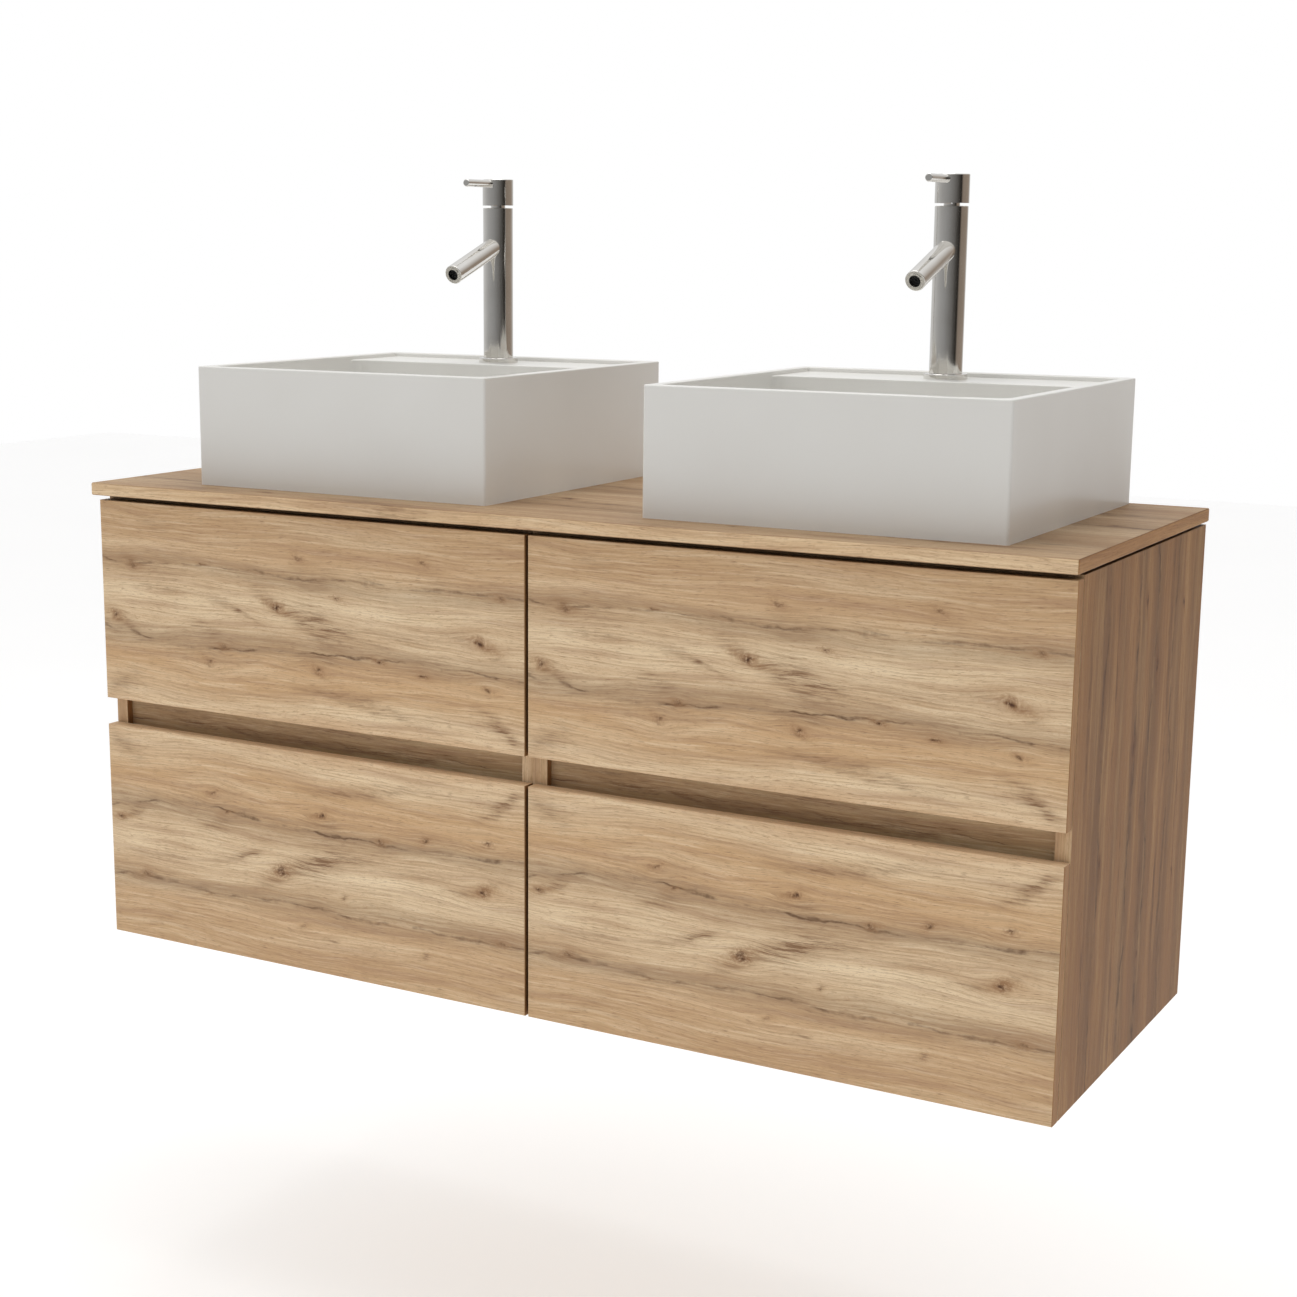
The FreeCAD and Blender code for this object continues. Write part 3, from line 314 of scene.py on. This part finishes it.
# The studio is dim and warm, so the surface is lighter and cooler than the print's codes. The
# broad faces and the ends of some boards are then darkened: painted shade on the side panels'
# faces, the countertop's top and underside, and the boards' ends.
ALBEDO_LIFT = (1.37, 1.42, 1.53)
SIDE_PAINTED_SHADE = (0.53, 0.39, 0.245)
TOP_PAINTED_SHADE = (0.57, 0.53, 0.50)
END_PAINTED_SHADE = (0.56, 0.42, 0.28)
END_BAND = 0.7       # metres: puts the end bands on a plain stretch of the print
GAP_SHADE_REACH = 0.016    # metres: a gap narrower than this gets painted shade
RAGGED_REACH = (0.030, 0.014)    # metres that a mark's outline wanders along and across
SWAY_REACH = 0.036   # metres that the grain wanders across
KNOT_PUSH = (0.030, 0.016)       # half length and height of the bent grain round a knot
RELIEF = (0.30, 0.0004)          # how strong and how deep the pressed grain is

# Tones of the grain: (which noise, its ramp to a strength, colour).
GRAIN_TONES = (
    ("broad", [(0.34, 0.50), (0.52, 0.0)], "A98661"),
    ("broad", [(0.50, 0.0), (0.68, 0.50)], "D2BB97"),
    ("bands", [(0.36, 0.46), (0.52, 0.0)], "98765A"),
    ("bands", [(0.54, 0.0), (0.70, 0.40)], "D8C3A1"),
    ("fine", [(0.34, 0.45), (0.50, 0.0)], "92714F"),
    ("fine", [(0.54, 0.0), (0.70, 0.30)], "DCC8A8"),
    ("ticks", [(0.31, 0.60), (0.41, 0.0)], "7F5E42"),
    ("curl", [(0.54, 0.0), (0.68, 0.40)], "A17C58"),
)
# Noises drawn out along the grain: counts per metre along and across, detail, roughness and
# distortion.
FIBRES = {
    "broad": (2.0, 26.0, 4.0, 0.6, 0.0),
    "bands": (4.0, 95.0, 5.0, 0.65, 0.0),
    "fine": (14.0, 520.0, 3.0, 0.65, 0.0),
    "strokes": (26.0, 330.0, 4.0, 0.7, 0.0),
    "ticks": (75.0, 1300.0, 2.0, 0.5, 0.0),
    "curl": (150.0, 330.0, 4.0, 0.7, 1.6),
    "grit": (240.0, 520.0, 3.0, 0.7, 0.0),
}
# A knot from its halo to its heart: (half length and height, fall, colour, strength).
KNOT_LAYERS = (
    ((0.024, 0.0085), 0.30, "96714C", 0.80),
    ((0.0100, 0.0058), 0.20, "7A5638", 1.0),
    ((0.0046, 0.0030), 0.0, "4A3020", 1.35),
)


def make_blot_group():
    """A soft oval spot: 1 at its middle, fading over its reach, falling along its length."""
    g = Graph(bpy.data.node_groups.new("blot", "ShaderNodeTree"))
    for name in ("run", "rise", "x", "y", "length", "height", "fall"):
        g.tree.interface.new_socket(name, in_out="INPUT", socket_type="NodeSocketFloat")
    g.tree.interface.new_socket("spot", in_out="OUTPUT", socket_type="NodeSocketFloat")
    run, rise, x, y, length, height, fall = list(g.add("NodeGroupInput").outputs)[:7]
    dx = g.math("SUBTRACT", run, x)
    dy = g.math("MULTIPLY_ADD", dx, fall, g.math("SUBTRACT", rise, y))
    dx = g.math("DIVIDE", dx, length)
    dy = g.math("DIVIDE", dy, height)
    square = g.math("MULTIPLY_ADD", dx, dx, g.math("MULTIPLY", dy, dy))
    g.link(g.math("EXPONENT", g.math("MULTIPLY", square, -1.0)),
           g.add("NodeGroupOutput").inputs[0])
    return g.tree


BLOT = make_blot_group()


class Oak(Surface):
    """Printed oak: the grain runs along the first axis, and the print lies in the board's frame."""

    def __init__(self, name, grain_axes, start, size, layout, flip=False, repeat=None,
                 tint=(1, 1, 1), seed=0.0):
        super().__init__(name)
        self.layout = layout
        self.width, self.height = size
        self.seed = seed
        self.place_print(grain_axes, start, flip, repeat)
        self.bend_grain()
        self.fibres = {name: self.fibre(*settings) for name, settings in FIBRES.items()}
        self.paint_ground()
        self.paint_smears()
        self.paint_cracks()
        if layout["knots"]:
            self.paint_knots()
        self.colour = self.tint(self.colour, ALBEDO_LIFT)
        # Painted shade: the broad faces are darkened by the given factors.
        self.colour = self.mix(self.on_face, self.colour, self.tint(self.colour, tint))
        # Painted shade: the end faces are darkened to a brown.
        self.colour = self.mix(self.on_end, self.colour, self.tint(self.colour, END_PAINTED_SHADE))
        # Painted shade in the narrow gaps between boards.
        self.paint_gap_shade()
        self.bump(self.math("MULTIPLY", self.total(self.hollows), -1.0), *RELIEF)
        rough = self.math("MULTIPLY_ADD", self.fibres["fine"], 0.16, 0.47)
        self.finish(Base_Color=self.colour, Roughness=rough, Specular_IOR_Level=0.2)

    def place_print(self, grain_axes, start, flip, repeat):
        """Find the place on the print: the run along the grain, the rise across it, the depth."""
        along, upright, depth = grain_axes
        axes = dict(zip("xyz", self.split(self.position())))
        flat_normal = self.add("ShaderNodeNewGeometry").outputs["True Normal"]
        facing = dict(zip("xyz", self.split(flat_normal)))
        run = self.math("SUBTRACT", axes[along], start[0])
        if repeat:
            run = self.math("WRAP", run, repeat, 0.0)
        rise = self.math("SUBTRACT", axes[upright], start[1])
        if flip:
            rise = self.math("SUBTRACT", self.height, rise)
        deep = axes[depth]
        # The foil wraps round the long edges. The ends have a band of their own, whose grain
        # runs along the end.
        end = self.math("GREATER_THAN", self.math("ABSOLUTE", facing[along]), 0.5)
        self.run = self.blend(end, run, rise)
        self.rise = self.blend(end, rise, self.math("ADD", deep, END_BAND))
        self.deep = self.blend(end, deep, 0.0)
        self.on_end = end
        self.on_face = self.math("GREATER_THAN", self.math("ABSOLUTE", facing[depth]), 0.5)

    def bend_grain(self):
        """Slow waves bend the grain, knots push it aside, and marks get ragged outlines."""
        wrapped = self.math("ADD", self.rise, self.deep)
        flat = self.combine(self.math("ADD", self.run, self.seed), wrapped, 0.0)
        warp = self.noise_node(self.scale(flat, (30.0, 90.0, 0.0)), 1.0, 5.0)
        ragged_x, ragged_y, self.ragged = self.split(warp.outputs["Color"])
        self.mark_run = self.wander(ragged_x, RAGGED_REACH[0], self.run)
        self.mark_rise = self.wander(ragged_y, RAGGED_REACH[1], self.rise)
        self.sway = self.noise(self.scale(flat, (2.6, 9.0, 0.0)), 1.0, 3.0, 0.5)
        bent = self.wander(self.sway, SWAY_REACH, wrapped)
        pushes = []
        for x, y, scale, strength in self.layout["knots"]:
            reach = [part * scale for part in KNOT_PUSH]
            ring = self.blot(self.run, self.rise, (x, y), reach)
            away = self.math("SUBTRACT", self.rise, y * self.height)
            pushes.append(self.math("MULTIPLY", ring,
                                    self.math("MULTIPLY", away, -0.8 * strength)))
        if pushes:
            bent = self.math("ADD", bent, self.total(pushes))
        self.grain = self.combine(self.math("ADD", self.run, self.seed), bent, 0.0)

    def wander(self, noise, reach, value):
        """Move a value to and fro by a noise."""
        return self.math("MULTIPLY_ADD", self.math("SUBTRACT", noise, 0.5), reach, value)

    def blot(self, run, rise, share, reach, fall=0.0):
        """A spot placed by its share of the board's width and height."""
        place = (share[0] * self.width, share[1] * self.height)
        node = self.add("ShaderNodeGroup", node_tree=BLOT)
        for socket, value in zip(node.inputs, (run, rise, *place, *reach, fall)):
            self.feed(socket, value)
        return node.outputs[0]

    def fibre(self, length, pitch, detail, roughness, distortion):
        stretched = self.scale(self.grain, (length, pitch, 0.0))
        return self.noise(stretched, 1.0, detail, roughness, distortion)

    def lay(self, mask, code):
        """Lay a colour over what is painted so far."""
        self.colour = self.mix(mask, self.colour, hexed(code))

    def paint_ground(self):
        up = self.wander(self.sway, 0.22, self.math("DIVIDE", self.mark_rise, self.height))
        stops = [(place, hexed(code)) for place, code in self.layout["ground"]]
        self.colour = self.ramp(up, stops)
        for fibre, strengths, code in GRAIN_TONES:
            self.lay(self.ramp(self.fibres[fibre], strengths), code)
        self.hollows = [self.ramp(self.fibres["fine"], [(0.35, 0.6), (0.6, 0.0)]),
                        self.ramp(self.fibres["ticks"], [(0.31, 0.8), (0.41, 0.0)])]

    def paint_smears(self):
        """Smears are clusters of short dark strokes on a soft shade."""
        smear = self.total([
            self.math("MULTIPLY", self.blot(self.mark_run, self.mark_rise, (x, y), (w, h), fall),
                      dark) for x, y, w, h, fall, dark in self.layout["smears"]])
        for fibre, strengths, weight, code in (
                ("bands", [(0.35, 0.75), (0.65, 0.30)], 0.75, "8A6A4B"),
                ("strokes", [(0.46, 0.0), (0.60, 1.1)], 0.80, "6A4A30")):
            spot = self.math("MULTIPLY", smear, self.ramp(self.fibres[fibre], strengths),
                             clamp=True)
            self.lay(self.math("MULTIPLY", spot, weight), code)

    def paint_cracks(self):
        """Cracks are long, thin, broken lines with greyer wood beside them."""
        for number, (heights, strength) in enumerate(self.layout["cracks"]):
            thin, wide = self.crack(heights, self.seed + 2.1 * number)
            for fibre, strengths, weight, code in (
                    ("bands", [(0.40, 1.0), (0.60, 0.12)], 0.60, "8A7054"),
                    ("strokes", [(0.54, 0.0), (0.66, 0.9)], 0.55, "6E5038")):
                shade = self.math("MULTIPLY", wide, self.ramp(self.fibres[fibre], strengths))
                self.lay(self.math("MULTIPLY", shade, weight * strength), code)
            self.lay(self.math("MULTIPLY", thin, 0.85 * strength), "4F3421")
            self.hollows.append(self.math("MULTIPLY", thin, 0.8))

    def crack(self, heights, seed):
        """How dark a long crack is here, and how grey the wood beside it."""
        across = self.math("DIVIDE", self.run, self.width)
        curve = self.add("ShaderNodeFloatCurve")
        line = curve.mapping.curves[0]
        line.points[0].location = (0.0, heights[0])
        line.points[1].location = (1.0, heights[-1])
        for index, height in enumerate(heights[1:-1], start=1):
            line.points.new(index / (len(heights) - 1), height)
        curve.mapping.update()
        self.link(across, curve.inputs["Value"])
        waver = self.noise(self.combine(across, seed, 0.0), 14.0, 3.0, 0.55)
        middle = self.wander(waver, 0.030, curve.outputs[0])
        up = self.math("DIVIDE", self.mark_rise, self.height)
        away = self.math("ABSOLUTE", self.math("SUBTRACT", up, middle))
        broken = self.noise(self.combine(across, seed + 5.0, 0.0), 13.0, 4.0, 0.65)
        thin = self.ramp(away, [(0.0, 1.0), (0.003, 0.8), (0.008, 0.0)])
        thin = self.math("MULTIPLY", thin,
                         self.ramp(broken, [(0.42, 0.0), (0.50, 0.45), (0.60, 1.0)]))
        wide = self.ramp(away, [(0.0, 1.0), (0.03, 0.45), (0.09, 0.0)])
        return thin, wide

    def paint_knots(self):
        broken = self.ramp(self.fibres["grit"], [(0.38, 0.25), (0.56, 1.0)])
        for reach, fall, code, weight in KNOT_LAYERS:
            spots = []
            for x, y, scale, dark in self.layout["knots"]:
                spot = self.blot(self.mark_run, self.mark_rise, (x, y),
                                 [part * scale for part in reach], fall)
                spots.append(self.math("MULTIPLY", spot, dark * weight))
            ragged = self.math("MULTIPLY_ADD", self.ragged, 1.0, 0.40)
            heart = self.math("MULTIPLY", self.total(spots),
                              self.math("MULTIPLY", broken, ragged), clamp=True)
            self.lay(heart, code)
        self.hollows.append(self.math("MULTIPLY", heart, 0.7))

    def paint_gap_shade(self):
        """Painted shade: the narrow gaps between boards, and the raw edges in them, are darkened as
        if unlit.
        """
        shade = self.add("ShaderNodeAmbientOcclusion", samples=6)
        shade.inputs["Distance"].default_value = GAP_SHADE_REACH
        self.lay(self.ramp(shade.outputs["AO"], [(0.04, 0.93), (0.36, 0.0)]), "120C07")


def dress(node, material):
    """Give one node a single material."""
    slots = NODES[node].data.materials
    slots.clear()
    slots.append(material)


def dress_boards(nodes, grain_axes, layout, **options):
    """Print the decor on boards that share one material, placed by the first board."""
    low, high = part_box(nodes[0])
    along, upright = ("xyz".index(axis) for axis in grain_axes[:2])
    start = (low[along], low[upright])
    size = (high[along] - start[0], high[upright] - start[1])
    oak = Oak(f"oak_{nodes[0]}", grain_axes, start, size, layout, **options)
    for node in nodes:
        dress(node, oak.material)


def dress_cabinets():
    starts = [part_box(f"{side}_bottom_panel")[0][0] for side in SIDES]
    pitch = starts[1] - starts[0]
    for level in LEVELS:
        dress_boards([f"{side}_{level}_front" for side in SIDES], "xzy", FRONT_PRINT,
                     flip=level == "lower", repeat=pitch)
    # The side panels' broad faces are darkened with painted shade.
    dress_boards([f"{side}_{place}_side" for side in SIDES for place in ("outer", "inner")],
                 "zyx", SIDE_PRINT, tint=SIDE_PAINTED_SHADE, seed=1.3)
    dress_boards([f"{side}_grip_rail" for side in SIDES], "xzy", RAIL_PRINT, repeat=pitch, seed=9.2)
    dress_boards([f"{side}_{part}" for part in ("back_panel", "hanging_rail") for side in SIDES],
                 "xzy", RAIL_PRINT, repeat=pitch, seed=4.4)
    dress_boards(["left_bottom_panel", "right_bottom_panel", "front_stretchers"], "xyz",
                 RAIL_PRINT, repeat=pitch, seed=6.0)
    # The countertop's top and underside are darkened with painted shade.
    dress_boards(["countertop"], "xyz", TOP_PRINT, tint=TOP_PAINTED_SHADE, seed=3.7)


# ---------------------------------------------------------------- other materials

def ceramic():
    """White glaze: a very slight unevenness, and a faint fired speckle."""
    g = Surface("white_ceramic")
    spot = g.position()
    waves = g.noise(spot, 9.0, 2.0, 0.4)
    speckle = g.noise(spot, 900.0, 2.0, 0.5)
    colour = g.mix(g.ramp(waves, [(0.3, 0.0), (0.7, 0.5)]), hexed("E4E3DF"), hexed("DEDCD7"))
    colour = g.mix(g.ramp(speckle, [(0.24, 0.12), (0.34, 0.0)]), colour, hexed("B9B4AC"))
    g.bump(waves, 0.05, 0.0006)
    rough = g.math("MULTIPLY_ADD", waves, 0.10, 0.26)
    return g.finish(Base_Color=colour, Roughness=rough, Coat_Weight=0.15, Coat_Roughness=0.12)


def chrome():
    """Polished chrome, with hair-fine polishing marks that only the highlights show."""
    g = Surface("polished_chrome")
    spot = g.position()
    marks = g.noise(g.scale(spot, (260.0, 260.0, 2400.0)), 1.0, 3.0, 0.6)
    water = g.noise(spot, 22.0, 2.0, 0.5)
    colour = g.mix(g.ramp(water, [(0.35, 0.0), (0.7, 1.0)]), hexed("E2E0DC"), hexed("D8D5D0"))
    rough = g.math("MULTIPLY_ADD", marks, 0.07, 0.055)
    g.bump(marks, 0.01, 0.0001)
    return g.finish(Base_Color=colour, Metallic=1.0, Roughness=rough)


def metal(name, light, dark, rough, stretch):
    """Plain sheet or turned metal, drawn along one direction."""
    g = Surface(name)
    spot = g.position()
    marks = g.noise(g.scale(spot, stretch), 1.0, 4.0, 0.6)
    cloud = g.noise(spot, 30.0, 3.0, 0.5)
    colour = g.mix(g.ramp(cloud, [(0.3, 0.0), (0.7, 1.0)]), light, dark)
    g.bump(marks, 0.12, 0.0002)
    return g.finish(Base_Color=colour, Metallic=1.0,
                    Roughness=g.math("MULTIPLY_ADD", marks, 0.2, rough))


def plastic(name, light, dark, rough, grain=1500.0):
    """Moulded plastic or lining board with a fine texture."""
    g = Surface(name)
    spot = g.position()
    texture = g.noise(spot, grain, 2.0, 0.6)
    cloud = g.noise(spot, 18.0, 3.0, 0.5)
    colour = g.mix(g.ramp(cloud, [(0.3, 0.0), (0.7, 1.0)]), light, dark)
    g.bump(texture, 0.25, 0.0002)
    return g.finish(Base_Color=colour, Roughness=g.math("MULTIPLY_ADD", texture, 0.15, rough))


SPOUT_FALL = math.radians(20)
INSERT_RADIUS = 0.0065
INSERT_RIB = 0.0007
INSERT_RINGS = (0.25, 0.5, 0.75)    # parts of the radius
INSERT_BARS = 8
INSERT_BAR_LENGTH = 1.96 * INSERT_RADIUS


def aerator_inserts():
    """The dark moulded insert in each spout's mouth: rings and ribs on a recessed disc."""
    low, high = (Vector(corner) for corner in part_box("aerators"))
    middle = (low + high) / 2
    material = plastic("insert_plastic", hexed("0B0B0C"), hexed("070708"), 0.55)
    for side in SIDES:
        tap_low, tap_high = (Vector(corner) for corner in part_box(f"{side}_tap_body"))
        turned = Matrix.Rotation(math.pi / 2 + SPOUT_FALL, 4, "X")
        place = Matrix.Translation(((tap_low.x + tap_high.x) / 2, middle.y, middle.z)) @ turned
        work = bmesh.new()
        bmesh.ops.create_cone(work, cap_ends=True, segments=48, radius1=INSERT_RADIUS,
                              radius2=INSERT_RADIUS, depth=INSERT_RIB)
        for radius in INSERT_RINGS:
            ring_wall(work, INSERT_RADIUS * radius, INSERT_RIB)
        for turn in range(INSERT_BARS):
            bar = bmesh.ops.create_cube(work, size=1.0)["verts"]
            shape = (Matrix.Rotation(math.pi * turn / INSERT_BARS, 4, "Z")
                     @ Matrix.Translation((0.0, 0.0, INSERT_RIB / 2))
                     @ Matrix.Diagonal((INSERT_BAR_LENGTH, INSERT_RIB, INSERT_RIB, 1.0)))
            bmesh.ops.transform(work, matrix=shape, verts=bar)
        work.transform(place)
        mesh = bpy.data.meshes.new(f"{side}_aerator_insert")
        work.to_mesh(mesh)
        work.free()
        insert = bpy.data.objects.new(f"{side}_aerator_insert", mesh)
        mesh.materials.append(material)
        bpy.context.scene.collection.objects.link(insert)
        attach(insert, "cabinet")


def ring_wall(work, radius, thickness, steps=48):
    """A ring round the origin, twice as high as it is thick."""
    rows = []
    for part, height in ((-1, 0), (1, 0), (1, 2), (-1, 2)):
        reach = radius + part * thickness / 2
        rows.append([work.verts.new((reach * math.cos(2 * math.pi * i / steps),
                                     reach * math.sin(2 * math.pi * i / steps),
                                     height * thickness)) for i in range(steps)])
    for row in range(4):
        first, second = rows[row], rows[(row + 1) % 4]
        for i in range(steps):
            j = (i + 1) % steps
            work.faces.new((first[i], first[j], second[j], second[i]))


def dress_the_rest():
    made = {
        "white_ceramic": ceramic(),
        "polished_chrome": chrome(),
        "zinc_steel": metal("zinc_steel", hexed("B4B6B8"), hexed("A3A6A9"), 0.3,
                            (900.0, 12.0, 900.0)),
        "brass_thread": metal("brass_thread", hexed("C29A55"), hexed("AB8443"), 0.28,
                              (60.0, 60.0, 2500.0)),
        "drawer_lining": plastic("drawer_lining", hexed("B5B3AE"), hexed("ADABA6"), 0.5),
        "dark_plastic": plastic("dark_plastic", hexed("1B1B1C"), hexed("141415"), 0.42),
        "grey_plastic": plastic("grey_plastic", hexed("A4A4A3"), hexed("999998"), 0.4),
    }
    for row in frame["record"]["subparts"]:
        if row["material_slot"] in made:
            dress(row["node"], made[row["material_slot"]])


# ---------------------------------------------------------------- studio

FLOOR_REACH = 9.0    # metres from the middle to each edge
FLOOR_DROP = 0.45    # metres from the undersides down to the floor
FLOOR_GLOW = 0.22
LIGHT_AIM = 0.5      # metres above the undersides
# (name, place, size, watts, colour)
LIGHTS = (
    ("key", (-2.0, -3.0, 2.4), 1.6, 7, (1.0, 1.0, 1.0)),
    ("top", (-0.2, -0.3, 2.8), 1.6, 21, (1.0, 0.99, 0.97)),
)
# The studio's brightness round the compass: from the front (0) by the left (0.25), the wall
# (0.5) and the right (0.75) to the front again (1).
SURROUND = (
    (0.0, (0.30, 0.30, 0.30)), (0.14, (0.42, 0.42, 0.42)), (0.30, (0.66, 0.66, 0.66)),
    (0.47, (0.75, 0.75, 0.75)), (0.58, (0.33, 0.27, 0.22)), (0.73, (0.27, 0.22, 0.18)),
    (0.765, (0.02, 0.018, 0.016)), (0.80, (0.05, 0.045, 0.04)), (0.90, (0.18, 0.175, 0.17)),
    (1.0, (0.30, 0.30, 0.30)),
)
SKY = (0.92, 0.92, 0.92)
SKY_HEIGHTS = (0.15, 0.75)    # where the walls begin and end to turn into the sky


def make_stage():
    """A plain pale floor under the wall-hung vanity, a pale surround and soft lights."""
    low, high = (Vector(corner) for corner in cad_bounds)
    centre = (low + high) / 2
    mesh = bpy.data.meshes.new("floor")
    mesh.from_pydata([(centre.x + FLOOR_REACH * a, centre.y + FLOOR_REACH * b,
                       low.z - FLOOR_DROP) for a, b in ((-1, -1), (1, -1), (1, 1), (-1, 1))],
                     [], [(0, 1, 2, 3)])
    floor = bpy.data.objects.new("floor", mesh)
    g = Surface("pale_floor")
    cloud = g.noise(g.position(), 1.2, 3.0, 0.5)
    floor.data.materials.append(g.finish(
        Base_Color=g.mix(cloud, hexed("FAFAFA"), hexed("F5F5F5")), Roughness=0.6,
        Emission_Color=(1.0, 1.0, 1.0, 1.0), Emission_Strength=FLOOR_GLOW))
    bpy.context.scene.collection.objects.link(floor)

    make_surround()
    for name, place, size, power, colour in LIGHTS:
        data = bpy.data.lights.new(name, "AREA")
        data.size = size
        data.energy = power
        data.color = colour
        light = bpy.data.objects.new(name, data)
        light.location = place
        aim = Vector((centre.x, centre.y, LIGHT_AIM)) - light.location
        light.rotation_euler = aim.to_track_quat("-Z", "Y").to_euler()
        bpy.context.scene.collection.objects.link(light)
    bpy.context.scene.view_settings.view_transform = "Standard"


def make_surround():
    """A soft grey studio that is darker and warmer to the right, seen as plain white behind."""
    world = bpy.data.worlds.new("surround")
    world.use_nodes = True
    g = Graph(world.node_tree)
    right, ahead, up = g.split(g.add("ShaderNodeTexCoord").outputs["Generated"])
    turn = g.math("ARCTAN2", right, ahead)
    walls = g.ramp(g.math("MULTIPLY_ADD", turn, 0.5 / math.pi, 0.5), SURROUND)
    sky = g.add("ShaderNodeMapRange")
    g.link(up, sky.inputs["Value"])
    sky.inputs["From Min"].default_value, sky.inputs["From Max"].default_value = SKY_HEIGHTS
    dim = g.add("ShaderNodeBackground")
    g.link(g.mix(sky.outputs[0], walls, SKY), dim.inputs["Color"])
    white = g.add("ShaderNodeBackground")
    white.inputs["Color"].default_value = (1, 1, 1, 1)
    choose = g.add("ShaderNodeMixShader")
    g.link(g.add("ShaderNodeLightPath").outputs["Is Camera Ray"], choose.inputs[0])
    g.link(dim.outputs[0], choose.inputs[1])
    g.link(white.outputs[0], choose.inputs[2])
    g.link(choose.outputs[0], g.add("ShaderNodeOutputWorld").inputs["Surface"])
    bpy.context.scene.world = world


make_camera()
aerator_inserts()
dress_cabinets()
dress_the_rest()
make_stage()
